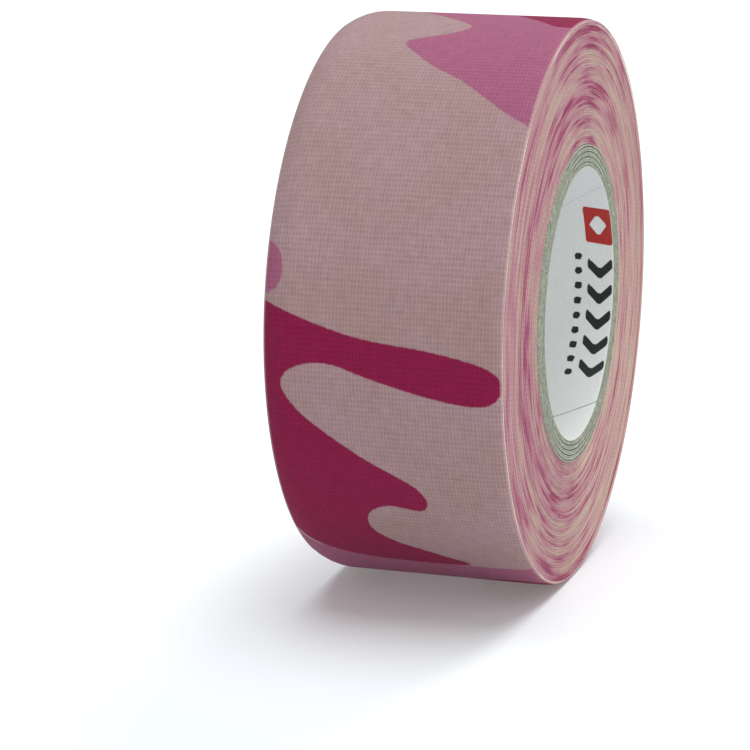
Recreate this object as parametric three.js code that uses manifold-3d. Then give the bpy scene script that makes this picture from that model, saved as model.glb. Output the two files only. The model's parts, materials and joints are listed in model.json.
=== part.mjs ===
// A roll of cloth grip tape on a spiral-wound paperboard core, standing on its tread.
// Millimetres, +Z up. The roll's axis is Y and the origin is the middle of the bore.
// The tape's free end is made as a row of short lengths, hinged to peel off the roll.
import * as THREE from "three";
import { mergeVertices } from "three/addons/utils/BufferGeometryUtils.js";
import Module from "manifold-3d";

const manifoldLibrary = await Module();
manifoldLibrary.setup();

// Tape
const TAPE_WIDTH = 24;
const ROLL_RADIUS = 29;
const CLOTH_THICKNESS = 0.18;
const ADHESIVE_THICKNESS = 0.07;
const WRAP_CLEARANCE = 0.02;
const WRAP_PITCH = CLOTH_THICKNESS + ADHESIVE_THICKNESS + WRAP_CLEARANCE;

// Core
const BORE_RADIUS = 14;
const CORE_PROUD = 0.15;
const CORE_LENGTH = TAPE_WIDTH + 2 * CORE_PROUD;
const LINER_THICKNESS = 0.15;
const BOARD_THICKNESS = 0.5;
const BOARD_PLIES = 4;
const GLUE_LINE = 0.02;
const SEAM_GAP = 0.35;
const SEAM_ANGLE_FROM_AXIS = THREE.MathUtils.degToRad(38);
const LINER_SEAM_ANGLE = THREE.MathUtils.degToRad(-97);
const SEAM_STAGGER = THREE.MathUtils.degToRad(109);

// Free end
const LEAD_SEGMENTS = 6;
const FACETS_PER_SEGMENT = 1;
const SEGMENT_GAP = 0.12;
const END_FACET = 16;

// Roundness: the roll's lowest facet is level, so that the roll stands on it.
const ROLL_FACETS = 48;
const CORE_FACETS = 48;
const SEAM_STEPS = 12;
const ROLL_FACET_ANGLE = (2 * Math.PI) / ROLL_FACETS;
const FIRST_FACET_ANGLE = -Math.PI / 2 + ROLL_FACET_ANGLE / 2;
const CORE_FACET_ANGLE = (2 * Math.PI) / CORE_FACETS;

// The core's outer face and the hole in the tape share the same facets.
const CORE_OUTER_RADIUS = BORE_RADIUS + LINER_THICKNESS + BOARD_PLIES * (GLUE_LINE + BOARD_THICKNESS);
const TAPE_INNER_RADIUS = CORE_OUTER_RADIUS + GLUE_LINE;
const LEAD_FACETS = LEAD_SEGMENTS * FACETS_PER_SEGMENT;

const clothFinish = new THREE.MeshStandardMaterial({ color: 0xb08c92, roughness: 0.9, metalness: 0 });
const packFinish = new THREE.MeshStandardMaterial({ color: 0xa86f84, roughness: 0.85, metalness: 0 });
const adhesiveFinish = new THREE.MeshStandardMaterial({ color: 0xd9cdb4, roughness: 0.45, metalness: 0 });
const boardFinish = new THREE.MeshStandardMaterial({ color: 0x9a9e8b, roughness: 0.95, metalness: 0 });
const linerFinish = new THREE.MeshStandardMaterial({ color: 0xdcdcda, roughness: 0.55, metalness: 0 });

/** Angle of a roll facet's edge, counted up from the edge just past the lowest facet. */
function facetAngle(index) {
  return FIRST_FACET_ANGLE + index * ROLL_FACET_ANGLE;
}

/**
 * Radius of the tape's outer face on the spiral, a number of facets back from its free end.
 * The tape lies on itself, so one turn back it is one wrap nearer to the core.
 */
function spiralRadius(facetsFromEnd) {
  return ROLL_RADIUS - (WRAP_PITCH * facetsFromEnd) / ROLL_FACETS;
}

/** Point in the roll's plane, for an outline that is extruded along the roll's axis. */
function polarPoint(radius, angle) {
  return new THREE.Vector2(radius * Math.cos(angle), radius * Math.sin(angle));
}

/** Manifold solid of a closed geometry. */
function toSolid(geometry) {
  const bare = new THREE.BufferGeometry();
  bare.setAttribute("position", geometry.getAttribute("position").clone());
  if (geometry.index) {
    bare.setIndex(geometry.index.clone());
  }
  const merged = mergeVertices(bare);
  const mesh = new manifoldLibrary.Mesh({
    numProp: 3,
    vertProperties: new Float32Array(merged.getAttribute("position").array),
    triVerts: new Uint32Array(merged.index.array),
  });
  return new manifoldLibrary.Manifold(mesh);
}

/** Geometry of a manifold solid. */
function toGeometry(solid) {
  const mesh = solid.getMesh();
  const geometry = new THREE.BufferGeometry();
  geometry.setAttribute("position", new THREE.BufferAttribute(new Float32Array(mesh.vertProperties), 3));
  geometry.setIndex(new THREE.BufferAttribute(new Uint32Array(mesh.triVerts), 1));
  geometry.computeVertexNormals();
  return geometry;
}

/** Outline in the XZ plane extruded along Y, centred on the roll's middle. */
function extrudeAcross(outline, width) {
  const geometry = new THREE.ExtrudeGeometry(outline, { depth: width, bevelEnabled: false });
  geometry.translate(0, 0, -width / 2);
  geometry.rotateX(Math.PI / 2);
  return geometry;
}

/** Plain tube of one core ply, with flat cut ends. */
function plyTube(innerRadius, outerRadius) {
  const half = CORE_LENGTH / 2;
  const profile = [
    new THREE.Vector2(innerRadius, -half),
    new THREE.Vector2(outerRadius, -half),
    new THREE.Vector2(outerRadius, half),
    new THREE.Vector2(innerRadius, half),
    new THREE.Vector2(innerRadius, -half),
  ];
  return new THREE.LatheGeometry(profile, CORE_FACETS);
}

/** Slanted blade that leaves the open butt seam where a ply's spiral edges meet. */
function seamBlade(innerRadius, outerRadius, seamAngle) {
  const reach = BOARD_THICKNESS;
  const length = CORE_LENGTH + 2 * reach;
  const thickness = outerRadius - innerRadius + 2 * reach;
  const middleRadius = (innerRadius + outerRadius) / 2;
  const twistPerLength = Math.tan(SEAM_ANGLE_FROM_AXIS) / middleRadius;
  const blade = new THREE.BoxGeometry(SEAM_GAP, length, thickness, 1, SEAM_STEPS, 1);
  const position = blade.getAttribute("position");
  for (let i = 0; i < position.count; i += 1) {
    const along = position.getY(i);
    const angle = seamAngle - along * twistPerLength;
    const aside = position.getX(i);
    const radius = middleRadius + position.getZ(i);
    const x = radius * Math.cos(angle) + aside * Math.sin(angle);
    const z = radius * Math.sin(angle) - aside * Math.cos(angle);
    position.setXYZ(i, x, along, z);
  }
  return blade;
}

/** One spiral-wound ply: a tube with its slanted seam open from end to end. */
function corePly(innerRadius, thickness, seamAngle) {
  const outerRadius = innerRadius + thickness;
  const tube = toSolid(plyTube(innerRadius, outerRadius));
  const blade = toSolid(seamBlade(innerRadius, outerRadius, seamAngle));
  return toGeometry(tube.subtract(blade));
}

/** Outline of the wound tape: one turn of the spiral, with a step where the free end lifts off. */
function packOutline() {
  const outline = new THREE.Shape();
  const points = [];
  for (let facet = 0; facet <= LEAD_FACETS; facet += 1) {
    points.push(polarPoint(spiralRadius(facet + ROLL_FACETS), facetAngle(END_FACET + facet)));
  }
  for (let facet = LEAD_FACETS; facet < ROLL_FACETS; facet += 1) {
    points.push(polarPoint(spiralRadius(facet), facetAngle(END_FACET + facet)));
  }
  outline.setFromPoints(points);
  const hole = new THREE.Path();
  const holePoints = [];
  for (let facet = 0; facet < CORE_FACETS; facet += 1) {
    holePoints.push(polarPoint(TAPE_INNER_RADIUS, -facet * CORE_FACET_ANGLE));
  }
  hole.setFromPoints(holePoints);
  outline.holes.push(hole);
  return outline;
}

/**
 * Outline of one length of the free end, between two depths below the tape's outer face.
 * Half of the gap to the next length is taken off at each end.
 */
function leadOutline(segment, topDepth, bottomDepth) {
  const firstFacet = (LEAD_SEGMENTS - segment) * FACETS_PER_SEGMENT;
  const trim = SEGMENT_GAP / 2 / ROLL_RADIUS;
  const top = [];
  const bottom = [];
  for (let step = 0; step <= FACETS_PER_SEGMENT; step += 1) {
    const facet = firstFacet + step;
    const atStart = step === 0 ? trim : 0;
    const atEnd = step === FACETS_PER_SEGMENT ? trim : 0;
    const angle = facetAngle(END_FACET + facet) + atStart - atEnd;
    const radius = spiralRadius(facet);
    top.push(polarPoint(radius - topDepth, angle));
    bottom.push(polarPoint(radius - bottomDepth, angle));
  }
  return new THREE.Shape([...top, ...bottom.reverse()]);
}

const roll = new THREE.Group();

function addPiece(name, geometry, finish) {
  const piece = new THREE.Mesh(geometry, finish);
  piece.name = name;
  roll.add(piece);
}

function addCore() {
  addPiece("core_liner_ply", corePly(BORE_RADIUS, LINER_THICKNESS, LINER_SEAM_ANGLE), linerFinish);
  for (let ply = 1; ply <= BOARD_PLIES; ply += 1) {
    const innerRadius = BORE_RADIUS + LINER_THICKNESS + GLUE_LINE + (ply - 1) * (BOARD_THICKNESS + GLUE_LINE);
    const seamAngle = LINER_SEAM_ANGLE + ply * SEAM_STAGGER;
    addPiece(`core_board_ply_${ply}`, corePly(innerRadius, BOARD_THICKNESS, seamAngle), boardFinish);
  }
}

function addWoundTape() {
  addPiece("tape_wound_pack", extrudeAcross(packOutline(), TAPE_WIDTH), packFinish);
}

/** Free end, from the peel line down to the cut end. */
function addLead() {
  const laminateThickness = CLOTH_THICKNESS + ADHESIVE_THICKNESS;
  for (let segment = 1; segment <= LEAD_SEGMENTS; segment += 1) {
    const cloth = extrudeAcross(leadOutline(segment, 0, CLOTH_THICKNESS), TAPE_WIDTH);
    const adhesive = extrudeAcross(leadOutline(segment, CLOTH_THICKNESS, laminateThickness), TAPE_WIDTH);
    addPiece(`lead_cloth_${segment}`, cloth, clothFinish);
    addPiece(`lead_adhesive_${segment}`, adhesive, adhesiveFinish);
  }
}

addCore();
addWoundTape();
addLead();

export default roll;
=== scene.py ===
"""Roll of printed cloth grip tape, wound on a spiral-wound paperboard core.

The roll stands on its tread with its axis along Y. The cloth is cut flat, printed, and wound
as one spiral. Its last few centimetres are the free end, which peels back over six joints.
"""

import json
import logging
import math
from dataclasses import dataclass, field
from enum import Enum
from typing import Callable, Iterable, Sequence

import bmesh
import bpy
import numpy as np
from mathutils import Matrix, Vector, noise


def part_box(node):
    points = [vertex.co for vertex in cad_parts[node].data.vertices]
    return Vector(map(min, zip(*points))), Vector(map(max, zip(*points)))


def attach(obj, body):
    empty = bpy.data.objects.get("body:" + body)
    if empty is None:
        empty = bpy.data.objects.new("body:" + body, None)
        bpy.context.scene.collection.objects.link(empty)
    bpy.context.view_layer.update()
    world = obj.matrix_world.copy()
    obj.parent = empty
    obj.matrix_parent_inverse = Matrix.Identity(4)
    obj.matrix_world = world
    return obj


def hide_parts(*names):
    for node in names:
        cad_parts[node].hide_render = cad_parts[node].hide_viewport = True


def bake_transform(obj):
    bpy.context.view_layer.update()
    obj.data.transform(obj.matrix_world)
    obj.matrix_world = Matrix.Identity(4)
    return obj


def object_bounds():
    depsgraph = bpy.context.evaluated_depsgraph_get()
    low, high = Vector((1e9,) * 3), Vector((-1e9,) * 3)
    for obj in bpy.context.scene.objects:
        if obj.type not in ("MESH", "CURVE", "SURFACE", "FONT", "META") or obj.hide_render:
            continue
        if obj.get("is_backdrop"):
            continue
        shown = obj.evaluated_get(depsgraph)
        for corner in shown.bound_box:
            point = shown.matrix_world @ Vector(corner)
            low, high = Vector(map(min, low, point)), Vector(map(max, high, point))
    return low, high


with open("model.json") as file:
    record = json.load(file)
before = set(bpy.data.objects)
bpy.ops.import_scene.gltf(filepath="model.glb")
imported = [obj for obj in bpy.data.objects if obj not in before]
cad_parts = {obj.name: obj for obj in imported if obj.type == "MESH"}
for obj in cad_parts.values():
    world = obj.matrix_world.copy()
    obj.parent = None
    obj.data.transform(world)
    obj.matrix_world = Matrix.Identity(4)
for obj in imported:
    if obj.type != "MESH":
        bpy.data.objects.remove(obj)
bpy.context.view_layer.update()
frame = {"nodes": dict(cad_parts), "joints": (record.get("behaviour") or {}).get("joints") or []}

Tree = bpy.types.NodeTree
Socket = bpy.types.NodeSocket
Material = bpy.types.Material
Object = bpy.types.Object
BMesh = bmesh.types.BMesh
Outline = tuple[tuple[float, float], ...]

LOG = logging.getLogger("grip_tape_roll")
MM = 0.001
FULL_TURN = 2 * math.pi
SAME_PLACE = 1e-6
SMOOTH = {"interpolation_type": "SMOOTHSTEP"}
FLAT_MAP = "flat_cloth"
JOINT_BENEATH = "joint_beneath"


# Small tools


def linear(code: str) -> tuple[float, float, float, float]:
    """Turn an sRGB hex colour into linear values.

    Args:
        code: Six hex digits after a hash sign.

    Returns:
        Linear red, green and blue, and an alpha of 1.
    """
    parts = [int(code[i : i + 2], 16) / 255 for i in (1, 3, 5)]
    red, green, blue = (c / 12.92 if c <= 0.04045 else ((c + 0.055) / 1.055) ** 2.4 for c in parts)
    return (red, green, blue, 1.0)


def add(
    tree: Tree, kind: str, inputs: dict | Sequence = (), out: int | str = 0, **settings: object
) -> Socket | None:
    """Add one node with its settings and its inputs.

    Args:
        tree: Node tree of the material.
        kind: Blender's name for the kind of node, without its first words. Its operation may
            follow after a space.
        inputs: Values in the order of the sockets, or by socket name or number. An output
            socket among them is linked.
        out: Name or number of the output to hand back.
        **settings: Properties of the node.

    Returns:
        That output, or None where the node has none.
    """
    kind, _, operation = kind.partition(" ")
    node = tree.nodes.new(f"ShaderNode{kind}")
    if operation:
        node.operation = operation
    for name, value in settings.items():
        setattr(node, name, value)
    by_key = inputs if isinstance(inputs, dict) else dict(enumerate(inputs))
    for key, value in by_key.items():
        if isinstance(value, Socket):
            tree.links.new(value, node.inputs[key])
        else:
            node.inputs[key].default_value = value
    return node.outputs[out] if node.outputs else None


def add_object(name: str, data: bpy.types.ID) -> Object:
    """Put a mesh, a light or a camera into the scene.

    Args:
        name: The object's name.
        data: Its mesh, light or camera.

    Returns:
        The new object.
    """
    added = bpy.data.objects.new(name, data)
    bpy.context.scene.collection.objects.link(added)
    return added


def new_material(name: str) -> tuple[Material, Tree, bpy.types.Node]:
    """Make an empty material with a Principled shader.

    Args:
        name: Name of the material.

    Returns:
        The material, its node tree and its shader.
    """
    material = bpy.data.materials.new(name)
    material.use_nodes = True
    tree = material.node_tree
    tree.nodes.clear()
    surface = add(tree, "BsdfPrincipled")
    add(tree, "OutputMaterial", {"Surface": surface})
    return material, tree, surface.node


def set_surface(
    shader: bpy.types.Node,
    colour: Socket,
    height: Socket,
    strength: float,
    depth: float,
    roughness: float,
) -> None:
    """Give a shader its colour, its relief and its roughness.

    Args:
        shader: The material's shader.
        colour: Socket with the colour.
        height: Socket with the height of the relief, about 0 to 1.
        strength: How much of the relief shows.
        depth: Depth of the relief, in millimetres.
        roughness: The shader's roughness.
    """
    tree = shader.id_data
    relief = {"Strength": strength, "Distance": depth * MM, "Height": height}
    tree.links.new(colour, shader.inputs["Base Color"])
    tree.links.new(add(tree, "Bump", relief), shader.inputs["Normal"])
    shader.inputs["Roughness"].default_value = roughness


def laid_over(tree: Tree, colour: Sequence[float], layers: Iterable[tuple[Socket, str]]) -> Socket:
    """Lay colours over a ground, one on the other.

    Args:
        tree: Node tree of the material.
        colour: The ground's linear colour.
        layers: Each layer's share, from 0 to 1, and its sRGB hex colour.

    Returns:
        Socket with the colour that is seen.
    """
    for share, code in layers:
        colour = add(tree, "Mix", {0: share, 6: colour, 7: linear(code)}, 2, data_type="RGBA")
    return colour


def shaded(tree: Tree, colour: Socket, tone: Socket) -> Socket:
    """Darken a colour evenly to a tone between 0 and 1."""
    grey = add(tree, "CombineColor", {0: tone, 1: tone, 2: tone})
    return add(tree, "Mix", {0: 1.0, 6: colour, 7: grey}, 2, data_type="RGBA", blend_type="MULTIPLY")


# The printed pattern


class Ink(Enum):
    """Printed colours, each with the attribute that holds the distance to its edge."""

    ROSE = "ink_rose"
    MAGENTA = "ink_magenta"
    RED = "ink_red"
    BLACK = "ink_black"


def rounded_outline(corners: Sequence[tuple[float, float]], steps: int = 5) -> np.ndarray:
    """Run a smooth closed curve through a few points.

    Args:
        corners: Points that the curve passes through, in order.
        steps: Straight pieces from one point to the next.

    Returns:
        The curve's points, one row each.
    """
    at = np.array(corners, float)
    before, after, beyond = np.roll(at, 1, 0), np.roll(at, -1, 0), np.roll(at, -2, 0)
    pieces = []
    for t in np.arange(steps) / steps:
        line = 2 * at + (after - before) * t
        bend = (2 * before - 5 * at + 4 * after - beyond) * t**2
        twist = (3 * at - before - 3 * after + beyond) * t**3
        pieces.append((line + bend + twist) / 2)
    return np.stack(pieces, 1).reshape(-1, 2)


def distance_to_outline(points: np.ndarray, outline: np.ndarray) -> np.ndarray:
    """Distance of each point to a closed outline.

    Args:
        points: Points, one row each.
        outline: The outline's corners, one row each.

    Returns:
        One distance for each point, negative inside the outline.
    """
    nearest = np.full(len(points), np.inf)
    inside = np.zeros(len(points), bool)
    for start, end in zip(outline, np.roll(outline, -1, 0)):
        run = end - start
        offset = points - start
        share = np.clip(offset @ run / max(run @ run, 1e-12), 0, 1)
        nearest = np.minimum(nearest, ((offset - share[:, None] * run) ** 2).sum(1))
        if start[1] != end[1]:
            spans = (start[1] <= points[:, 1]) != (end[1] <= points[:, 1])
            crossing = start[0] + (points[:, 1] - start[1]) * run[0] / run[1]
            inside ^= spans & (points[:, 0] < crossing)
    return np.where(inside, -1, 1) * np.sqrt(nearest)


ROSE_SHAPES: tuple[Outline, ...] = (
    (
        (39.9, 3.4), (37.9, -0.3), (36.0, -1.9), (34.6, -1.2), (32.3, 1.5), (29.6, 4.4), (26.0, 7.5),
        (21.5, 8.8), (18.2, 5.5), (16.0, 0.0), (17.0, -6.0), (20.5, -11.0), (24.0, -15.5), (40.0, -17.0),
        (53.5, -15.0), (52.0, -11.4), (50.7, -9.1), (48.8, -6.6), (46.7, -3.9), (44.6, -0.5), (42.4, 1.9),
        (41.0, 3.2),
    ),
    (
        (65.4, 14.0), (65.6, 11.6), (67.0, 10.3), (69.4, 10.2), (70.6, 11.6), (70.2, 14.0),
    ),
    (
        (99.5, 15.0), (101.2, 10.1), (103.2, 6.0), (104.0, 2.0), (104.1, -3.0), (104.0, -8.0),
        (104.2, -15.0), (113.0, -15.0), (114.0, -6.0), (114.0, 2.0), (116.5, 6.5), (115.5, 8.9),
        (112.5, 10.4), (110.4, 12.6), (109.6, 15.5),
    ),
)
MAGENTA_SHAPES: tuple[Outline, ...] = (
    (
        (26.0, -3.4), (29.6, -5.4), (32.7, -8.3), (34.7, -10.6), (33.6, -12.1), (29.0, -12.3),
        (24.0, -13.6), (19.5, -12.6), (18.0, -9.0), (20.0, -5.2), (23.0, -3.4),
    ),
    (
        (70.2, 15.0), (71.3, 12.0), (72.1, 9.9), (73.4, 6.1), (74.5, 1.6), (75.2, -4.5), (76.1, -9.2),
        (77.0, -11.3), (78.3, -12.0), (79.5, -11.6), (80.3, -10.2), (80.3, -7.6), (79.5, -3.3),
        (78.2, 1.6), (77.3, 4.3), (77.1, 6.6), (77.6, 8.6), (78.5, 9.8), (79.6, 10.1), (80.9, 9.4),
        (82.5, 8.1), (84.7, 5.4), (87.0, 2.3), (88.7, -0.4), (90.0, -2.3), (91.4, -3.3), (92.6, -3.4),
        (93.4, -2.7), (93.3, -1.3), (93.0, 0.3), (93.4, 1.8), (94.4, 2.9), (95.9, 3.3), (97.6, 2.8),
        (99.3, 1.0), (100.6, -1.3), (102.0, -3.6), (103.6, -5.9), (104.1, -2.7), (104.0, 2.4),
        (103.4, 5.9), (102.2, 8.3), (100.6, 10.3), (99.0, 12.1), (97.0, 15.0),
    ),
)


@dataclass(frozen=True)
class CamouflagePrint:
    """Two-colour camouflage on the cloth, repeated along the tape.

    Its shapes are in millimetres: along the print, and across it from the middle, positive
    towards +Y. They run past the tape's edges where the print was slit. The free end is cut at
    one place in the repeat.
    """

    repeat: float = 91.0
    at_free_end: float = 1.95
    edge_inset: float = 1.3
    shapes: dict[Ink, tuple[Outline, ...]] = field(
        default_factory=lambda: {Ink.ROSE: ROSE_SHAPES, Ink.MAGENTA: MAGENTA_SHAPES}
    )

    def distances(self, ink: Ink, along: np.ndarray, across: np.ndarray) -> np.ndarray:
        """Distance to the nearest edge of an ink's shapes.

        Args:
            ink: Which colour.
            along: Places along the tape, in millimetres.
            across: Places across the tape, in millimetres.

        Returns:
            Distances in millimetres, negative inside a shape.
        """
        found = np.full(len(along), np.inf)
        for corners in self.shapes[ink]:
            outline = rounded_outline(corners)
            for shift in (-self.repeat, 0.0, self.repeat):
                points = np.column_stack(((along + self.at_free_end) % self.repeat + shift, across))
                found = np.minimum(found, distance_to_outline(points, outline))
        return found


# Finishes


@dataclass(frozen=True)
class PrintedCloth:
    """Plain-woven cotton, roller-printed and matt: threads show as fine ribs under the ink.

    Lengths are in millimetres, and a pattern's fineness is in repeats for each millimetre.
    """

    ground: str = "#A38588"
    ground_shade: str = "#A0827F"
    rose: str = "#9B5773"
    magenta: str = "#83103F"
    selvedge: str = "#B9A097"
    warp_pitch: float = 0.35
    weft_pitch: float = 0.53
    warp_level: float = 0.78
    weft_level: float = 0.70
    interlacing: float = 0.22
    thread_wander: float = 0.10
    wander_fineness: float = 0.35
    ink_bleed: float = 0.10
    bleed_fineness: float = 2.2
    mottle_fineness: float = 0.12
    lint_fineness: float = 4.5
    lint_share: float = 0.55
    slubs: tuple[tuple[float, float, float], ...] = ((0.55, 2.9, 1.0), (1.9, 0.65, 1.0))
    bare_edge: tuple[float, float] = (0.3, 0.12)
    relief: float = 0.035
    roughness: float = 0.88

    def place(self, tree: Tree) -> tuple[Socket, ...]:
        """Places along and across the cloth in millimetres, with the wander of real threads.

        Args:
            tree: Node tree of the material.

        Returns:
            Sockets with the flat place, and with its wandering parts along and across.
        """
        flat = add(tree, "UVMap", uv_map=FLAT_MAP)
        drift = add(tree, "TexNoise", {"Vector": flat, "Scale": self.wander_fineness, "Detail": 2.0}, 1)
        middle = add(tree, "VectorMath SUBTRACT", {0: drift, 1: (0.5, 0.5, 0.5)})
        shift = add(tree, "VectorMath SCALE", {0: middle, 3: 2 * self.thread_wander})
        moved = add(tree, "VectorMath ADD", {0: flat, 1: shift})
        along = add(tree, "SeparateXYZ", {0: moved})
        return flat, along, along.node.outputs[1]

    def weave(self, tree: Tree, along: Socket, across: Socket) -> Socket:
        """Height of the weave from 0 in the holes to about 1 where a thread lies on top.

        Args:
            tree: Node tree of the material.
            along: Socket with the place along the tape, in millimetres.
            across: Socket with the place across the tape, in millimetres.

        Returns:
            The height's socket.
        """
        threads = []
        for place, pitch in ((across, self.warp_pitch), (along, self.weft_pitch)):
            phase = add(tree, "Math MULTIPLY", (place, math.pi / pitch))
            threads.append(add(tree, "Math COSINE", (phase,)))
        over = add(tree, "Math MULTIPLY", threads)
        lifts = (self.interlacing, self.warp_level), (-self.interlacing, self.weft_level)
        ribs = []
        for thread, lift in zip(threads, lifts):
            rounded = add(tree, "Math MULTIPLY", (thread, thread))
            level = add(tree, "Math MULTIPLY_ADD", (over, *lift))
            ribs.append(add(tree, "Math MULTIPLY", (rounded, level)))
        return add(tree, "Math MAXIMUM", ribs)

    def coverage(self, tree: Tree, ink: Ink, flat: Socket) -> Socket:
        """Share of an ink at a place: its edge is ragged by a thread or so.

        Args:
            tree: Node tree of the material.
            ink: Which ink.
            flat: Socket with the place on the flat tape, in millimetres.

        Returns:
            Socket with the share, from 0 to 1.
        """
        edge = add(tree, "Attribute", out="Fac", attribute_name=ink.value)
        ragged = add(tree, "TexNoise", {"Vector": flat, "Scale": self.bleed_fineness, "Detail": 3.0})
        offset = add(tree, "Math MULTIPLY_ADD", (ragged, 2 * self.ink_bleed, -self.ink_bleed))
        value = add(tree, "Math ADD", (edge, offset))
        span = (value, self.ink_bleed, -self.ink_bleed)
        return add(tree, "MapRange", span, **SMOOTH)

    def make(self) -> Material:
        """Build the material.

        Returns:
            The finished material.
        """
        material, tree, shader = new_material("printed_woven_cotton")
        flat, along, across = self.place(tree)
        height = self.weave(tree, along, across)

        mottle = add(tree, "TexNoise", {"Vector": flat, "Scale": self.mottle_fineness, "Detail": 4.0})
        mottled = add(tree, "MapRange", (mottle, 0.35, 0.65), **SMOOTH)
        edge = add(tree, "Attribute", out="Fac", attribute_name="edge_distance")
        bare = add(tree, "MapRange", (edge, *self.bare_edge), **SMOOTH)
        layers = (
            (mottled, self.ground_shade),
            (self.coverage(tree, Ink.ROSE, flat), self.rose),
            (self.coverage(tree, Ink.MAGENTA, flat), self.magenta),
            (add(tree, "Math MULTIPLY", (bare, 0.5)), self.selvedge),
        )
        inked = laid_over(tree, linear(self.ground), layers)

        # Each thread is a little lighter or darker for a few millimetres.
        slubs = []
        for stretch in self.slubs:
            laid = add(tree, "Mapping", {"Vector": flat, "Scale": stretch})
            slubs.append(add(tree, "TexNoise", {"Vector": laid, "Scale": 1.0, "Detail": 1.0}))
        slub = add(tree, "Math ADD", slubs)
        tone = add(tree, "Math MULTIPLY_ADD", (slub, 0.26, 0.76))
        # Painted shade: the colour darkens where the weave's height is low, in the holes between the
        # threads. The lint noise mixed into it is random tone.
        lint = add(tree, "TexNoise", {"Vector": flat, "Scale": self.lint_fineness, "Detail": 2.0})
        rib = add(tree, "Math MULTIPLY_ADD", (lint, self.lint_share, height))
        hollow = add(tree, "Math MULTIPLY_ADD", (rib, 0.26, 0.72))
        shade = add(tree, "Math MULTIPLY", (tone, hollow))
        set_surface(shader, shaded(tree, inked, shade), height, 0.9, self.relief, self.roughness)
        shader.inputs["Specular IOR Level"].default_value = 0.2
        shader.inputs["Sheen Weight"].default_value = 0.04
        shader.inputs["Sheen Roughness"].default_value = 0.5
        return material


@dataclass(frozen=True)
class SlitEdge:
    """Knife-cut edge of cloth and adhesive: bare pale cotton, with the threads' ends as beads."""

    name: str = "slit_cotton_edge"
    cotton: str = "#E4D3C8"
    dusty: str = "#C9A3A6"
    rose: str = "#A8657D"
    magenta: str = "#8C2A58"
    streak_length: float = 9.0
    streak_shift: float = 9.0
    thread_pitch: float = 0.53
    ink_spread: float = 0.8
    ink_strength: float = 0.3
    fibre_fineness: float = 1.6
    relief: float = 0.04
    roughness: float = 0.85

    def wander(self, tree: Tree, flat: Socket) -> Socket:
        """Slow variation from 0 to 1 along the cut edge."""
        laid = add(tree, "Mapping", {"Vector": flat, "Scale": (1 / self.streak_length, 0.2, 1.0)})
        return add(tree, "TexNoise", {"Vector": laid, "Scale": 1.0, "Detail": 4.0})

    def tint(self, tree: Tree, flat: Socket, fibres: Socket) -> Socket:
        """Colour of the edge: cotton, with the ink that soaked into it.

        Args:
            tree: Node tree of the material.
            flat: Socket with the place on the flat tape, in millimetres.
            fibres: Socket with the noise of the cut fibres, from 0 to 1.

        Returns:
            The colour's socket.
        """
        wander = self.wander(tree, flat)
        faded = add(tree, "MapRange", (wander, 0.4, 0.62), **SMOOTH)
        taken = add(tree, "MapRange", (fibres, 0.2, 0.7), **SMOOTH)
        held = add(tree, "Math MULTIPLY_ADD", (taken, 0.5, 0.5))
        strength = add(tree, "Math MULTIPLY", (held, self.ink_strength))
        layers = [(faded, self.dusty)]
        for ink, code in ((Ink.ROSE, self.rose), (Ink.MAGENTA, self.magenta)):
            edge = add(tree, "Attribute", out="Fac", attribute_name=ink.value)
            shift = (wander, self.streak_shift, -self.streak_shift / 2)
            offset = add(tree, "Math MULTIPLY_ADD", shift)
            moved = add(tree, "Math ADD", (edge, offset))
            span = (moved, self.ink_spread, -self.ink_spread)
            cover = add(tree, "MapRange", span, **SMOOTH)
            layers.append((add(tree, "Math MULTIPLY", (cover, strength)), code))
        return laid_over(tree, linear(self.cotton), layers)

    def make(self) -> Material:
        """Build the material.

        Returns:
            The finished material.
        """
        material, tree, shader = new_material(self.name)
        flat = add(tree, "UVMap", uv_map=FLAT_MAP)
        fibres = add(tree, "TexNoise", {"Vector": flat, "Scale": self.fibre_fineness, "Detail": 3.0})
        colour = self.tint(tree, flat, fibres)
        along = add(tree, "SeparateXYZ", {0: flat})
        phase = add(tree, "Math MULTIPLY", (along, FULL_TURN / self.thread_pitch))
        bead = add(tree, "Math COSINE", (phase,))
        height = add(tree, "Math MULTIPLY_ADD", (bead, 0.3, fibres))
        # Painted shade: the colour darkens between the threads' ends, where the beads' relief is low. The
        # fibres' noise in it is random tone. Nested edges share this.
        tone = add(tree, "Math MULTIPLY_ADD", (height, 0.3, 0.84))
        set_surface(shader, shaded(tree, colour, tone), height, 0.6, self.relief, self.roughness)
        shader.inputs["Specular IOR Level"].default_value = 0.25
        return material


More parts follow.
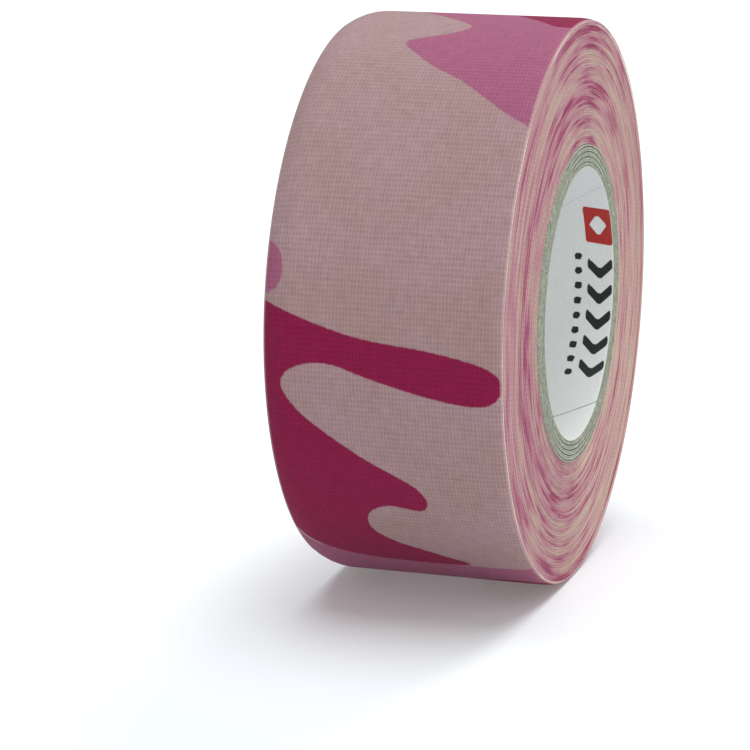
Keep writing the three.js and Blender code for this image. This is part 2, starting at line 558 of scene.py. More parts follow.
@dataclass(frozen=True)
class NestedEdges(SlitEdge):
    """Edges of the wraps inside the roll: neighbouring wraps' inks run together in soft arcs.

    The print repeats twice in the roll's outer circumference, so neighbouring wraps line up
    there, and again every few millimetres further in: that gives the rings.
    """

    name: str = "nested_slit_edges"
    cotton: str = "#BB9D92"
    dusty: str = "#B5878C"
    rose: str = "#AD6980"
    magenta: str = "#96335E"
    arc_length: float = 6.5
    arc_width: float = 0.85
    middle_radius: float = 22.0
    ring_pitch: float = 7.0
    ring_start: float = 20.6
    ring_waver: float = 5.0
    ring_share: float = -0.05
    rose_share: float = -0.03
    magenta_share: float = -0.07

    def arcs(self, tree: Tree) -> tuple[Socket, Socket]:
        """Radius in millimetres, and a place stretched round the roll into arcs.

        Args:
            tree: Node tree of the material.

        Returns:
            Sockets with the radius and with the stretched place.
        """
        place = add(tree, "TexCoord", out="Object")
        level = add(tree, "VectorMath MULTIPLY", {0: place, 1: (1 / MM, 0.0, 1 / MM)})
        radius = add(tree, "VectorMath LENGTH", {0: level}, "Value")
        outward = add(tree, "VectorMath NORMALIZE", {0: level})
        around = {0: outward, 3: self.middle_radius / self.arc_length}
        round_roll = add(tree, "VectorMath SCALE", around)
        depth = add(tree, "Math MULTIPLY", (radius, 1 / self.arc_width))
        inward = add(tree, "CombineXYZ", {1: depth})
        return radius, add(tree, "VectorMath ADD", {0: round_roll, 1: inward})

    def rings(self, tree: Tree, radius: Socket, broad: Socket) -> Socket:
        """Wavering rings, from -1 to 1, where the wraps' prints line up.

        Args:
            tree: Node tree of the material.
            radius: Socket with the radius, in millimetres.
            broad: Socket with the noise that makes the rings waver.

        Returns:
            The rings' socket.
        """
        turned = add(tree, "Math MULTIPLY", (broad, self.ring_waver))
        phase = add(tree, "Math MULTIPLY_ADD", (radius, FULL_TURN / self.ring_pitch, turned))
        start = -self.ring_start * FULL_TURN / self.ring_pitch - self.ring_waver / 2
        phase = add(tree, "Math ADD", (phase, start))
        return add(tree, "Math COSINE", (phase,))

    def tint(self, tree: Tree, flat: Socket, fibres: Socket) -> Socket:
        """Colour of the edges: cream, pink and magenta arcs that fade into each other.

        Args:
            tree: Node tree of the material.
            flat: Socket with the place on the flat tape, in millimetres.
            fibres: Socket with the noise of the cut fibres, which isn't used here.

        Returns:
            The colour's socket.
        """
        radius, arcs = self.arcs(tree)
        fine = {"Vector": arcs, "Scale": 1.0, "Detail": 3.0, "Roughness": 0.55}
        shared = add(tree, "TexNoise", fine)
        broad = add(tree, "TexNoise", {"Vector": arcs, "Scale": 0.3, "Detail": 2.0})
        rings = self.rings(tree, radius, broad)
        quarter = add(tree, "Math MULTIPLY", (broad, 0.25))
        pale = add(tree, "Math MULTIPLY_ADD", (shared, 0.75, quarter))
        pale = add(tree, "Math MULTIPLY_ADD", (rings, self.ring_share, pale))
        centred = add(tree, "Math ADD", (pale, -0.15))
        pale = add(tree, "Math MULTIPLY_ADD", (self.wander(tree, flat), 0.3, centred))
        for ink, share in ((Ink.ROSE, self.rose_share), (Ink.MAGENTA, self.magenta_share)):
            edge = add(tree, "Attribute", out="Fac", attribute_name=ink.value)
            inked = add(tree, "MapRange", (edge, 2.5, -2.5), **SMOOTH)
            pale = add(tree, "Math MULTIPLY_ADD", (inked, share, pale))
        steps = ((0.60, 0.48, self.dusty), (0.50, 0.37, self.rose), (0.42, 0.30, self.magenta))
        layers = [
            (add(tree, "MapRange", (pale, start, end), **SMOOTH), code)
            for start, end, code in steps
        ]
        return laid_over(tree, linear(self.cotton), layers)


@dataclass(frozen=True)
class TackyAdhesive:
    """Coated rubber adhesive: cream, slightly glossy, with the weave printed through."""

    colour: str = "#D8CBB0"
    shade: str = "#CDBB9A"
    blotch_fineness: float = 0.6
    relief: float = 0.02
    roughness: float = 0.38
    cloth: PrintedCloth = PrintedCloth()

    def make(self) -> Material:
        """Build the material.

        Returns:
            The finished material.
        """
        material, tree, shader = new_material("rubber_adhesive_coat")
        flat, along, across = self.cloth.place(tree)
        height = self.cloth.weave(tree, along, across)
        blotch = add(tree, "TexNoise", {"Vector": flat, "Scale": self.blotch_fineness, "Detail": 3.0})
        colour = laid_over(tree, linear(self.colour), [(blotch, self.shade)])
        set_surface(shader, colour, height, 0.35, self.relief, self.roughness)
        return material


@dataclass(frozen=True)
class CutBoard:
    """Recycled paperboard, saw-cut: grey-green, rough, flecked with light and dark fibres."""

    name: str = "recycled_paperboard"
    body: str = "#9FA291"
    light: str = "#BDBFAC"
    dark: str = "#74786A"
    patch: str = "#939A89"
    fibre_length: float = 0.3
    relief: float = 0.05
    roughness: float = 0.95

    def make(self) -> Material:
        """Build the material.

        Returns:
            The finished material.
        """
        material, tree, shader = new_material(self.name)
        place = add(tree, "TexCoord", out="Object")
        scale = 1 / (self.fibre_length * MM)
        fleck = add(tree, "TexNoise", {"Vector": place, "Scale": scale, "Detail": 4.0})
        patch = add(tree, "TexNoise", {"Vector": place, "Scale": scale / 5, "Detail": 3.0})
        fibre = add(tree, "TexVoronoi", {"Vector": place, "Scale": scale * 1.6})
        layers = []
        for value, start, end, share, code in (
            (patch, 0.35, 0.70, 1.0, self.patch),
            (fleck, 0.52, 0.68, 0.7, self.light),
            (fleck, 0.47, 0.34, 0.55, self.dark),
        ):
            cover = {0: value, 1: start, 2: end, 4: share}
            layers.append((add(tree, "MapRange", cover, **SMOOTH), code))
        colour = laid_over(tree, linear(self.body), layers)
        height = add(tree, "Math ADD", (fleck, fibre))
        set_surface(shader, colour, height, 0.6, self.relief, self.roughness)
        return material


@dataclass(frozen=True)
class LinerPaper:
    """Calendered white paper, printed in two inks: smooth, with a faint satin gloss."""

    paper: str = "#D9DAD9"
    paper_shade: str = "#D2D3D1"
    red: str = "#A51C14"
    black: str = "#101112"
    crease: str = "#7F8280"
    crease_span: tuple[float, float] = (0.14, 0.03)
    crease_shade_share: float = 0.45
    crease_depth: float = -1.5
    ink_bleed: float = 0.04
    grain_fineness: float = 3.0
    relief: float = 0.02
    roughness: float = 0.42

    def make(self) -> Material:
        """Build the material.

        Returns:
            The finished material.
        """
        material, tree, shader = new_material("calendered_liner_paper")
        flat = add(tree, "UVMap", uv_map=FLAT_MAP)
        grain = add(tree, "TexNoise", {"Vector": flat, "Scale": self.grain_fineness, "Detail": 4.0})
        clouded = add(tree, "MapRange", (grain, 0.3, 0.75), **SMOOTH)
        layers = [(clouded, self.paper_shade)]
        for ink, code in ((Ink.RED, self.red), (Ink.BLACK, self.black)):
            edge = add(tree, "Attribute", out="Fac", attribute_name=ink.value)
            span = (edge, self.ink_bleed, -self.ink_bleed)
            layers.append((add(tree, "MapRange", span, **SMOOTH), code))
        # Painted shade: a grey line is painted along the crease over the board's joint beneath. The crease's
        # relief is in the bump.
        joint = add(tree, "Attribute", out="Fac", attribute_name=JOINT_BENEATH)
        crease = add(tree, "MapRange", (joint, *self.crease_span), **SMOOTH)
        faint = add(tree, "Math MULTIPLY", (crease, self.crease_shade_share))
        colour = laid_over(tree, linear(self.paper), [*layers, (faint, self.crease)])
        height = add(tree, "Math MULTIPLY_ADD", (crease, self.crease_depth, grain))
        set_surface(shader, colour, height, 0.2, self.relief, self.roughness)
        return material


@dataclass(frozen=True)
class StudioPaper:
    """Seamless white background paper: matt and even."""

    colour: str = "#EEF0F2"
    roughness: float = 0.9

    def make(self) -> Material:
        """Build the material.

        Returns:
            The finished material.
        """
        material, _, shader = new_material("seamless_white_paper")
        shader.inputs["Base Color"].default_value = linear(self.colour)
        shader.inputs["Roughness"].default_value = self.roughness
        return material


# Flat strips, and how they are wound


class Face(Enum):
    """Sides of a flat strip, by material slot."""

    OUTER = 0
    CUT = 1
    INNER = 2


@dataclass
class FlatStrip:
    """A strip cut flat: length along X, width along Y, thickness along Z, in millimetres."""

    stations: np.ndarray
    columns: np.ndarray
    thickness: float
    layers: int = 1
    bevel: float = 0.04
    bevel_steps: int = 2
    crisp_angle: float = 50.0
    upright: float = 0.9

    def build(self) -> BMesh:
        """Cut the strip and round its long edges.

        Returns:
            A closed mesh, whose faces hold their side in material_index.
        """
        bm = bmesh.new()
        along_count, across_count = len(self.stations) - 1, len(self.columns) - 1
        bmesh.ops.create_grid(bm, x_segments=along_count, y_segments=across_count, size=0.5)
        for vert in bm.verts:
            column = round((vert.co.y + 0.5) * across_count)
            station = round((vert.co.x + 0.5) * along_count)
            vert.co = (self.stations[station], self.columns[column], 0.0)
        sheet = bm.faces[:]
        for _ in range(self.layers):
            grown = bmesh.ops.extrude_face_region(bm, geom=sheet)["geom"]
            sheet = [g for g in grown if isinstance(g, bmesh.types.BMFace)]
            for vert in {v for f in sheet for v in f.verts}:
                vert.co.z += self.thickness / self.layers
        bmesh.ops.recalc_face_normals(bm, faces=bm.faces)
        self.round_edges(bm)
        self.mark_sides(bm)
        self.keep_ends_crisp(bm)
        return bm

    def round_edges(self, bm: BMesh) -> None:
        """Bevel the four long edges.

        Args:
            bm: The flat strip.
        """
        low, high = self.columns[0], self.columns[-1]
        rims = []
        for edge in bm.edges:
            a, b = (v.co for v in edge.verts)
            lengthwise = (a - b).yz.length < SAME_PLACE < abs(a.x - b.x)
            at_side = min(abs(a.y - low), abs(a.y - high)) < SAME_PLACE
            at_face = min(abs(a.z), abs(a.z - self.thickness)) < SAME_PLACE
            if lengthwise and at_side and at_face:
                rims.append(edge)
        bmesh.ops.bevel(
            bm,
            geom=rims,
            offset=self.bevel,
            segments=self.bevel_steps,
            profile=0.5,
            affect="EDGES",
            material=-1,
        )

    def keep_ends_crisp(self, bm: BMesh) -> None:
        """Shade the strip's two cut ends apart from its faces, so that stretches join unseen.

        Args:
            bm: The flat strip.
        """
        bm.normal_update()
        for edge in bm.edges:
            if len(edge.link_faces) == 2 and edge.calc_face_angle() > math.radians(self.crisp_angle):
                edge.smooth = False

    def mark_sides(self, bm: BMesh) -> None:
        """Write each face's side into its material index.

        Args:
            bm: The flat strip.
        """
        for face in bm.faces:
            rise = face.normal.z
            side = Face.OUTER if rise > self.upright else Face.INNER if rise < -self.upright else Face.CUT
            face.material_index = side.value


@dataclass(frozen=True)
class Spiral:
    """The tape's path round the roll, in millimetres and radians.

    A turn is the angle back from the free end. The free end points down the +X side, so the
    place on the roll is the end's angle plus the turn.
    """

    end_angle: float
    end_radius: float
    core_radius: float
    pitch: float
    thickness: float
    half_width: float
    far_drop: float = 0.85
    far_reach: float = 3.0
    far_power: float = 2.4
    near_drop: float = 0.22
    near_reach: float = 1.2
    near_power: float = 2.0
    slow_waves: float = 0.035
    slow_drift: float = 0.10
    quick_waves: float = 0.31
    quick_drift: float = 0.07
    settled_wraps: float = 15.0
    climb_share: float = 0.04

    def length_at(self, turn: float) -> float:
        """Tape length from the free end to a turn."""
        return self.end_radius * turn - self.pitch * turn**2 / (2 * FULL_TURN)

    def turn_at(self, length: float) -> float:
        """Turn at a tape length from the free end."""
        rise = self.pitch / FULL_TURN
        return (self.end_radius - math.sqrt(max(self.end_radius**2 - 2 * rise * length, 0.0))) / rise

    def last_turn(self) -> float:
        """Turn at which the tape starts on the core."""
        return (self.end_radius - self.thickness - self.core_radius) * FULL_TURN / self.pitch

    def settling(self, turn: float) -> float:
        """How far the first wraps lie below the even spiral.

        The first wrap lies on the core all round and climbs over the tape's own start in a
        short step. The step fades out in the wraps above it.

        Args:
            turn: Turn back from the free end.

        Returns:
            The drop in millimetres.
        """
        wraps = (self.last_turn() - turn) / FULL_TURN
        share = wraps - math.floor(wraps)
        if share > 1 - self.climb_share:
            share = (1 - share) * (1 - self.climb_share) / self.climb_share
        return self.pitch * share * max(0.0, 1 - wraps / self.settled_wraps)

    def shoulder(self, across: float) -> float:
        """Share of its height above the core that the tape loses near its edges.

        Args:
            across: Place across the tape, in millimetres.

        Returns:
            The share, from 0 to 1.
        """
        build_up = self.end_radius - self.core_radius
        far = max(0.0, (across - self.half_width + self.far_reach) / self.far_reach)
        near = max(0.0, (-across - self.half_width + self.near_reach) / self.near_reach)
        drop = self.far_drop * far**self.far_power + self.near_drop * near**self.near_power
        return drop / build_up

    def drift(self, turn: float) -> float:
        """How far a wrap sits to one side of its neighbours.

        Args:
            turn: Turn back from the free end.

        Returns:
            The shift along the roll's axis, in millimetres.
        """
        slow = noise.noise(Vector((turn * self.slow_waves, 3.1, 0.0)))
        quick = noise.noise(Vector((turn * self.quick_waves, 7.7, 2.0)))
        return self.slow_drift * slow + self.quick_drift * quick

    def place(self, flat: Vector) -> Vector:
        """Wind a point of the flat tape onto the roll.

        Args:
            flat: Millimetres along the tape, across it, and up from its adhesive face.

        Returns:
            The point on the roll, in metres.
        """
        turn = self.turn_at(flat.x)
        outer = self.end_radius - self.pitch * turn / FULL_TURN
        radius = outer - self.thickness + flat.z - self.settling(turn)
        radius = self.core_radius + (radius - self.core_radius) * (1 - self.shoulder(flat.y))
        angle = self.end_angle + turn
        across = flat.y + self.drift(turn)
        return Vector((radius * math.cos(angle), across, radius * math.sin(angle))) * MM


# Making pieces


def finish_piece(
    name: str,
    bm: BMesh,
    place: Callable[[Vector], Vector],
    attributes: dict[str, np.ndarray],
    materials: Sequence[Material],
) -> Object:
    """Wind a flat strip into place and make it an object.

    Args:
        name: Name of the piece.
        bm: The flat strip, in millimetres.
        place: Takes a flat point to its place, in metres.
        attributes: Attribute name to one value for each vertex.
        materials: Materials for the strip's outer, cut and inner sides.

    Returns:
        The finished object, at the origin.
    """
    laid_out = bm.loops.layers.uv.new(FLAT_MAP)
    for face in bm.faces:
        face.smooth = True
        for loop in face.loops:
            loop[laid_out].uv = loop.vert.co.xy
    for vert in bm.verts:
        vert.co = place(vert.co)
    bmesh.ops.recalc_face_normals(bm, faces=bm.faces)
    mesh = bpy.data.meshes.new(name)
    bm.to_mesh(mesh)
    bm.free()
    for key, values in attributes.items():
        mesh.attributes.new(key, "FLOAT", "POINT").data.foreach_set("value", values.astype(np.float32))
    for material in materials:
        mesh.materials.append(material)
    return add_object(name, mesh)


def flat_points(bm: BMesh) -> np.ndarray:
    """Vertex places of a flat strip, one row each."""
    return np.array([v.co for v in bm.verts], float).reshape(-1, 3)


@dataclass
class WoundTape:
    """The tape: its wound coil, its outermost wrap, and the free end that peels."""

    spiral: Spiral
    print_: CamouflagePrint
    cloth: Material
    fresh_edge: Material
    nested_edges: Material
    adhesive: Material
    segment_turn: float
    segments: int
    rests_on: str = "core_board_4"
    coil_steps: int = 128
    wrap_steps: int = 256
    lead_steps: int = 12
    held_share: float = 0.28
    printed_columns: int = 40
    rim: float = 0.02

    def columns(self, count: int) -> np.ndarray:
        """Places across the tape."""
        half = self.spiral.half_width
        return np.linspace(-half, half, count + 1)

    def stations(self, start: float, end: float, per_turn: int) -> np.ndarray:
        """Lengths along the tape between two turns, in even steps of angle."""
        count = max(1, round((end - start) / FULL_TURN * per_turn))
        return np.array([self.spiral.length_at(t) for t in np.linspace(start, end, count + 1)])

    def printed(self, bm: BMesh) -> dict[str, np.ndarray]:
        """Print the cloth: the distance to each ink's edge at every vertex.

        Args:
            bm: The flat strip.

        Returns:
            Attribute name to one distance for each vertex, in millimetres.
        """
        at = flat_points(bm)
        to_edge = self.spiral.half_width - np.abs(at[:, 1])
        inset = np.where(to_edge < self.rim, np.clip(self.print_.edge_inset - to_edge, 0, None), 0)
        across = at[:, 1] - np.sign(at[:, 1]) * inset
        found = {ink.value: self.print_.distances(ink, at[:, 0], across) for ink in (Ink.ROSE, Ink.MAGENTA)}
        found["edge_distance"] = to_edge
        return found

    def strip(self, name: str, start: float, end: float, per_turn: int, columns: int) -> Object:
        """Cut, print and wind one stretch of tape.

        Args:
            name: Name of the piece.
            start: Turn at which it starts, counted back from the free end.
            end: Turn at which it ends.
            per_turn: Steps in one turn.
            columns: Strips across the width.

        Returns:
            The wound stretch.
        """
        flat = FlatStrip(self.stations(start, end, per_turn), self.columns(columns), self.spiral.thickness)
        bm = flat.build()
        edge = self.nested_edges if name == "tape_coil" else self.fresh_edge
        return finish_piece(name, bm, self.spiral.place, self.printed(bm), [self.cloth, edge, self.adhesive])

    def build(self) -> None:
        """Make every piece of the tape."""
        lead_turn = self.segments * self.segment_turn
        wrap_start = lead_turn + self.held_share * self.segment_turn
        wrap_end = FULL_TURN + lead_turn + self.segment_turn
        coil = self.strip("tape_coil", wrap_end, self.spiral.last_turn(), self.coil_steps, 1)
        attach(coil, "roll")
        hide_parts("tape_wound_pack")
        LOG.info("tape_coil: %d faces", len(coil.data.polygons))
        fine = self.wrap_steps, self.printed_columns
        wrap = self.strip("tape_outer_wrap", wrap_start, wrap_end, *fine)
        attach(wrap, "roll")
        LOG.info("tape_outer_wrap: %d faces", len(wrap.data.polygons))
        lead = self.build_lead(lead_turn)
        cut = (2 * self.spiral.half_width * MM, self.spiral.length_at(self.spiral.last_turn()) * MM)
        LOG.info("tape cut %.3f m wide and %.2f m long", *cut)

    def build_lead(self, lead_turn: float) -> list[Object]:
        """Make the free end, one stretch across each joint.

        A little over a quarter of a stretch lies before its joint. Much more would dip into the wrap
        beneath as the joint opens, and much less would leave the peeled tape rippled.

        Args:
            lead_turn: Turn of the first joint.

        Returns:
            The stretches, from the roll outwards.
        """
        stretches = []
        for number in range(1, self.segments + 1):
            joint_turn = lead_turn - (number - 1) * self.segment_turn
            start = joint_turn + self.held_share * self.segment_turn
            bent = start - self.segment_turn
            end = 0.0 if number == self.segments else bent
            name = f"tape_lead_{number}"
            per_turn = round(self.lead_steps * FULL_TURN / self.segment_turn)
            piece = self.strip(name, end, start, per_turn, self.printed_columns)
            self.on_path(start)
            self.on_path(bent)
            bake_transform(piece)
            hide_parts(f"lead_cloth_{number}", f"lead_adhesive_{number}")
            LOG.info("%s: %d faces", name, len(piece.data.polygons))
            stretches.append(piece)
        return stretches

    def on_path(self, turn: float) -> tuple[float, float, float]:
        """Point of the tape's outer face at a turn, in metres."""
        flat = Vector((self.spiral.length_at(turn), 0.0, self.spiral.thickness))
        return tuple(self.spiral.place(flat))


@dataclass(frozen=True)
class MarkShape:
    """One shape of the liner's plain mark, by its corners in millimetres on the flattened bore."""

    ink: Ink
    corners: Outline
    hollow: bool = False

    def distance(self, along: np.ndarray, across: np.ndarray) -> np.ndarray:
        """Distance to the shape's edge, negative inside."""
        return distance_to_outline(np.column_stack((along, across)), np.array(self.corners, float))


@dataclass(frozen=True)
class PlainMark:
    """A red block with a white diamond, arrows that point along the bore, and a row of ticks."""

    block: tuple[float, float, float, float] = (3.6, 8.2, -12.1, -9.2)
    lean: float = 0.35
    diamond: tuple[float, float, float] = (1.25, 1.55, 0.95)
    arrows: int = 5
    arrow_start: float = 2.2
    arrow_pitch: float = 2.75
    arrow_stroke: float = 1.15
    arrow_tip: float = 1.3
    arrow_rows: tuple[float, float] = (-12.0, -9.3)
    ticks: int = 9
    tick_start: float = 2.6
    tick_pitch: float = 1.6
    tick_width: float = 0.75
    tick_rows: tuple[float, float] = (-8.7, -7.9)

    def shapes(self) -> list[MarkShape]:
        """Every shape of the mark.

        Returns:
            The shapes, with a hollow one after the shape that it cuts.
        """
        low, high, near, far = self.block
        middle, depth = (low + high) / 2, (near + far) / 2
        corners = ((low, near), (low + self.lean, far), (high + self.lean, far), (high, near))
        left, right, tall = self.diamond
        top = middle + self.lean / 2
        diamond = ((middle - left, depth), (top, depth + tall), (middle + right, depth), (top, depth - tall))
        found = [MarkShape(Ink.RED, corners), MarkShape(Ink.RED, diamond, hollow=True)]
        near, far = self.arrow_rows
        for number in range(self.arrows):
            at = self.arrow_start - number * self.arrow_pitch
            front = ((at, near), (at - self.arrow_tip, (near + far) / 2), (at, far))
            back = tuple((x - self.arrow_stroke, y) for x, y in reversed(front))
            found.append(MarkShape(Ink.BLACK, front + back))
        near, far = self.tick_rows
        for number in range(self.ticks):
            at = self.tick_start - number * self.tick_pitch
            end = at - self.tick_width
            found.append(MarkShape(Ink.BLACK, ((at, near), (at, far), (end, far), (end, near))))
        return found

    def distances(self, ink: Ink, along: np.ndarray, across: np.ndarray) -> np.ndarray:
        """Distance to the edge of one ink's shapes, negative inside.

        Args:
            ink: Which ink.
            along: Places round the bore, in millimetres.
            across: Places along the bore, in millimetres.

        Returns:
            One distance for each place, in millimetres.
        """
        found = np.full(len(along), 100.0)
        for shape in self.shapes():
            if shape.ink is ink:
                distance = shape.distance(along, across)
                found = np.maximum(found, -distance) if shape.hollow else np.minimum(found, distance)
        return found


@dataclass(frozen=True)
class PlyCut:
    """How a ply's strip is cut: its steps round the core, its rows along it, and its cut ends."""

    steps: int
    rows: tuple[float, ...]
    layers: int
    bevel: float
    ragged: float


@dataclass
class SpiralCore:
    """The core: a printed paper liner and the paperboard plies wound over it."""

    bore_radius: float
    length: float
    plies: int
    board: Material
    paper: Material
    paper_edge: Material
    liner_thickness: float = 0.15
    board_thickness: float = 0.5
    glue_line: float = 0.02
    seam_gap: float = 0.12
    seam_slope: float = math.tan(math.radians(38))
    liner_seam: float = math.radians(-97)
    seam_stagger: float = math.radians(109)
    cut_depth: float = 0.08
    mark: PlainMark = PlainMark()
    liner_cut: PlyCut = PlyCut(260, tuple(np.linspace(-1, 1, 73)), 1, 0.02, 0.015)
    board_cut: PlyCut = PlyCut(
        220, (-1, -0.985, -0.9, -0.6, -0.3, 0, 0.3, 0.6, 0.9, 0.985, 1), 3, 0.03, 0.05
    )

    def distances(self, ink: Ink, along: np.ndarray, across: np.ndarray) -> np.ndarray:
        """Distance to the mark's edge in one ink, on both sides of the bore.

        Args:
            ink: Which ink.
            along: Places round the bore, in millimetres.
            across: Places along the bore, in millimetres.

        Returns:
            One distance for each place, negative inside the mark.
        """
        half_round = math.pi * self.bore_radius
        here = (along + half_round) % (2 * half_round) - half_round
        there = along % (2 * half_round) - half_round
        first = self.mark.distances(ink, here, across)
        return np.minimum(first, self.mark.distances(ink, -there, -across))

    def joint_beneath(self, angle: np.ndarray, across: np.ndarray) -> np.ndarray:
        """Distance along the bore's surface to the joint of the board ply under the liner.

        Args:
            angle: Angles round the core, in radians.
            across: Places along the bore, in millimetres.

        Returns:
            One distance for each place, in millimetres.
        """
        inner = self.bore_radius + self.liner_thickness
        seam = self.liner_seam + self.seam_stagger - across * self.seam_slope / inner
        turned = (angle - seam + math.pi) % FULL_TURN - math.pi
        return np.abs(turned) * inner / math.hypot(1.0, self.seam_slope)

    def ply(
        self, name: str, inner: float, thickness: float, seam: float, is_liner: bool
    ) -> Object:
        """Cut one ply's strip flat, and wind it with its slanted seam.

        Args:
            name: Name of the piece.
            inner: Radius of its inner face.
            thickness: Its thickness.
            seam: Angle of its seam at the middle of the core.
            is_liner: True for the printed liner, False for a board ply.

        Returns:
            The wound ply.
        """
        cut = self.liner_cut if is_liner else self.board_cut
        half, middle = self.length / 2, inner + thickness / 2
        stations = np.linspace(self.seam_gap / 2, FULL_TURN * middle - self.seam_gap / 2, cut.steps)
        bm = FlatStrip(stations, half * np.array(cut.rows), thickness, cut.layers, cut.bevel).build()

        def wind(flat: Vector) -> Vector:
            """Place a flat point: its seam slants, and its cut ends are rough."""
            turned = seam + (flat.x - flat.y * self.seam_slope) / middle
            radius, across = inner + flat.z, flat.y
            if abs(across) > half - self.cut_depth:
                grain = Vector((flat.x * 2.2, flat.z * 3.0, inner + math.copysign(5, across)))
                across += math.copysign(cut.ragged, across) * noise.noise(grain)
            return Vector((radius * math.cos(turned), across, radius * math.sin(turned))) * MM

        if not is_liner:
            return finish_piece(name, bm, wind, {}, [self.board] * 3)
        at = flat_points(bm)
        angle = seam + (at[:, 0] - at[:, 1] * self.seam_slope) / middle
        along = angle * self.bore_radius
        attributes = {ink.value: self.distances(ink, along, at[:, 1]) for ink in (Ink.RED, Ink.BLACK)}
        attributes[JOINT_BENEATH] = self.joint_beneath(angle, at[:, 1])
        return finish_piece(name, bm, wind, attributes, [self.board, self.paper_edge, self.paper])

    def build(self) -> None:
        """Make every ply."""
        liner = self.ply("core_liner", self.bore_radius, self.liner_thickness, self.liner_seam, True)
        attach(liner, "roll")
        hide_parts("core_liner_ply")
        inner = self.bore_radius + self.liner_thickness + self.glue_line
        for number in range(1, self.plies + 1):
            seam = self.liner_seam + number * self.seam_stagger
            piece = self.ply(f"core_board_{number}", inner, self.board_thickness, seam, False)
            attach(piece, "roll")
            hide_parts(f"core_board_ply_{number}")
            inner += self.board_thickness + self.glue_line
        LOG.info("core: liner and %d board plies", self.plies)


@dataclass(frozen=True)
class Sun:
    """A distant soft light: its direction from the roll, and its spread in degrees."""

    name: str
    towards: tuple[float, float, float]
    spread: float
    strength: float
    colour: tuple[float, float, float] = (1.0, 1.0, 1.0)
    shadows: bool = True

    def shine(self) -> None:
        """Hang the light in the scene."""
        data = bpy.data.lights.new(self.name, "SUN")
        data.angle = math.radians(self.spread)
        data.energy = self.strength
        data.color = self.colour
        data.use_shadow = self.shadows
        light = add_object(self.name, data)
        light.location = self.towards
        light.rotation_mode = "QUATERNION"
        light.rotation_quaternion = (-Vector(self.towards)).to_track_quat("-Z", "Y")


@dataclass
class Studio:
    """Camera, lights and floor. Distances are in millimetres."""

    floor_height: float
    azimuth: float = -71.835
    elevation: float = 13.053
    distance: float = 319.1
    aside: float = 9.426
    above: float = 8.117
    lens: float = 148.47
    suns: tuple[Sun, ...] = (
        Sun("back_light", (0.72, -0.16, 0.66), 18.0, 1.0),
        Sun("top_light", (0.0, 0.0, 1.0), 50.0, 2.05, (0.93, 0.97, 1.0)),
        Sun("front_light", (-0.5, -0.62, 0.6), 46.0, 1.22, (1.0, 0.99, 0.95), shadows=False),
    )
    room_colour: tuple[float, float, float, float] = (0.93, 0.97, 1.0, 1.0)
    room_light: float = 0.31
    backdrop_light: float = 0.8
    floor_reach: float = 6000.0

    def camera(self) -> None:
        """Stand the camera where the roll's tread and its near side both show."""
        azimuth, elevation = math.radians(self.azimuth), math.radians(self.elevation)
        level = math.cos(elevation)
        back = Vector((math.sin(azimuth) * level, -math.cos(azimuth) * level, math.sin(elevation)))
        right = Vector((math.cos(azimuth), math.sin(azimuth), 0.0))
        up = back.cross(right)
        data = bpy.data.cameras.new("camera")
        data.lens = self.lens
        data.sensor_width = 36.0
        data.clip_start = 0.01
        camera = add_object("camera", data)
        camera.location = (back * self.distance - right * self.aside - up * self.above) * MM
        camera.rotation_mode = "QUATERNION"
        camera.rotation_quaternion = (-back).to_track_quat("-Z", "Y")
        bpy.context.scene.camera = camera

    def room(self) -> None:
        """Surround the roll with even light. The camera sees the room brighter than it lights."""
        world = bpy.data.worlds.new("white_room")
        world.use_nodes = True
        tree = world.node_tree
        background = tree.nodes["Background"]
        background.inputs[0].default_value = self.room_colour
        seen = add(tree, "LightPath", out="Is Camera Ray")
        brightness = (seen, self.backdrop_light, self.room_light)
        tree.links.new(add(tree, "Math MULTIPLY_ADD", brightness), background.inputs[1])
        bpy.context.scene.world = world
        bpy.context.scene.view_settings.view_transform = "Standard"

    def floor(self) -> None:
        """Lay the floor under the roll."""
        bm = bmesh.new()
        bmesh.ops.create_grid(bm, x_segments=1, y_segments=1, size=self.floor_reach * MM)
        bmesh.ops.translate(bm, verts=bm.verts, vec=(0.0, 0.0, self.floor_height * MM))
        mesh = bpy.data.meshes.new("floor")
        bm.to_mesh(mesh)
        bm.free()
        mesh.materials.append(StudioPaper().make())
        add_object("floor", mesh)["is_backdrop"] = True

    def build(self) -> None:
        """Set up the whole studio."""
        self.camera()
        for sun in self.suns:
            sun.shine()
        self.room()
        self.floor()


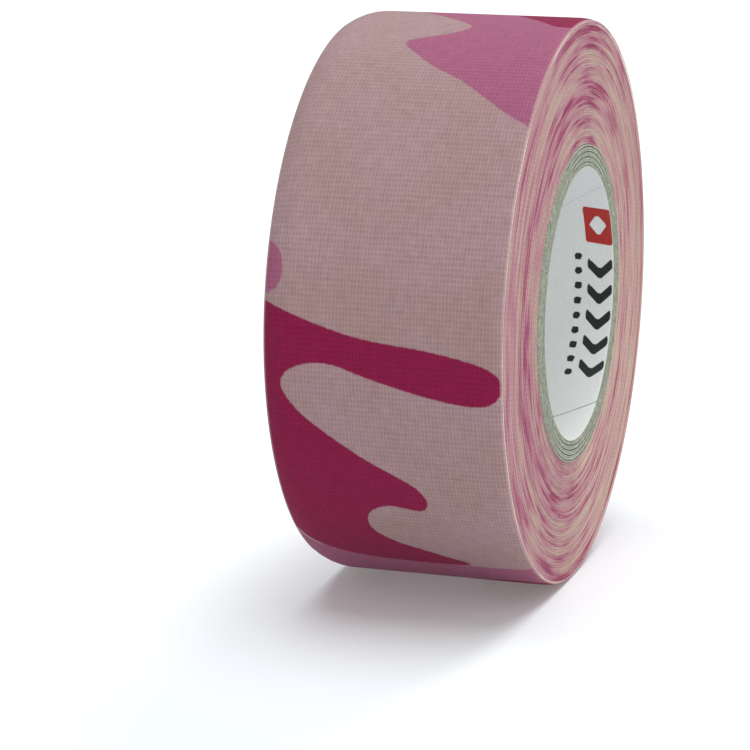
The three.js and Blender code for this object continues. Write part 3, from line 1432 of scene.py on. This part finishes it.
@dataclass(frozen=True)
class TapeSizes:
    """Thicknesses in the wound tape, in millimetres."""

    cloth: float = 0.18
    adhesive: float = 0.07
    clearance: float = 0.02

    def spiral(self, core_radius: float, half_width: float) -> tuple[Spiral, float]:
        """Read the tape's path from the peel joints.

        Args:
            core_radius: Radius of the hole in the tape.
            half_width: Half of the tape's width.

        Returns:
            The spiral, and the turn between two joints.
        """
        thickness = self.cloth + self.adhesive
        pitch = self.cloth + self.adhesive + self.clearance
        pivots = [j["pos_m"] for j in frame["joints"]]
        angles = [math.atan2(p[2], p[0]) for p in pivots]
        segment_turn = angles[0] - angles[1]
        end_angle = angles[-1] - segment_turn
        lead_turn = angles[0] - end_angle
        end_radius = math.hypot(pivots[0][0], pivots[0][2]) / MM + pitch * lead_turn / FULL_TURN
        return Spiral(end_angle, end_radius, core_radius, pitch, thickness, half_width), segment_turn


def half_span(node: str, axis: int) -> float:
    """Half of a CAD node's size along one axis, in millimetres."""
    low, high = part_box(node)
    return (high[axis] - low[axis]) / 2 / MM


def build_core(plies: int) -> None:
    """Make the core from its size in the CAD and its number of board plies.

    Args:
        plies: Number of board plies in the CAD.
    """
    board = CutBoard()
    # The liner's cut edge is painted a dark olive: painted shade where the liner meets the board.
    painted_shade_edge = CutBoard("paper_edge_painted_shade", "#7B8156", "#8D9268", "#666B46")
    bore_radius = half_span("core_liner_ply", 0) - SpiralCore.liner_thickness
    materials = board.make(), LinerPaper().make(), painted_shade_edge.make()
    SpiralCore(bore_radius, 2 * half_span("core_liner_ply", 1), plies, *materials).build()


def build_tape(plies: int) -> None:
    """Make the tape from its size in the CAD, wound on the last board ply.

    Args:
        plies: Number of board plies in the CAD.
    """
    sizes = TapeSizes()
    core_radius = half_span(f"core_board_ply_{plies}", 0) + sizes.clearance
    spiral, segment_turn = sizes.spiral(core_radius, half_span("tape_wound_pack", 1))
    finishes = [finish.make() for finish in (PrintedCloth(), SlitEdge(), NestedEdges(), TackyAdhesive())]
    WoundTape(spiral, CamouflagePrint(), *finishes, segment_turn, len(frame["joints"])).build()


def main() -> None:
    """Build the roll, then the studio."""
    logging.basicConfig(level=logging.INFO, format="%(name)s %(message)s")
    plies = sum(1 for name in frame["nodes"] if name.startswith("core_board_ply_"))
    build_core(plies)
    build_tape(plies)
    low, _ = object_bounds()
    Studio(floor_height=low[2] / MM).build()


if __name__ == "__main__":
    main()
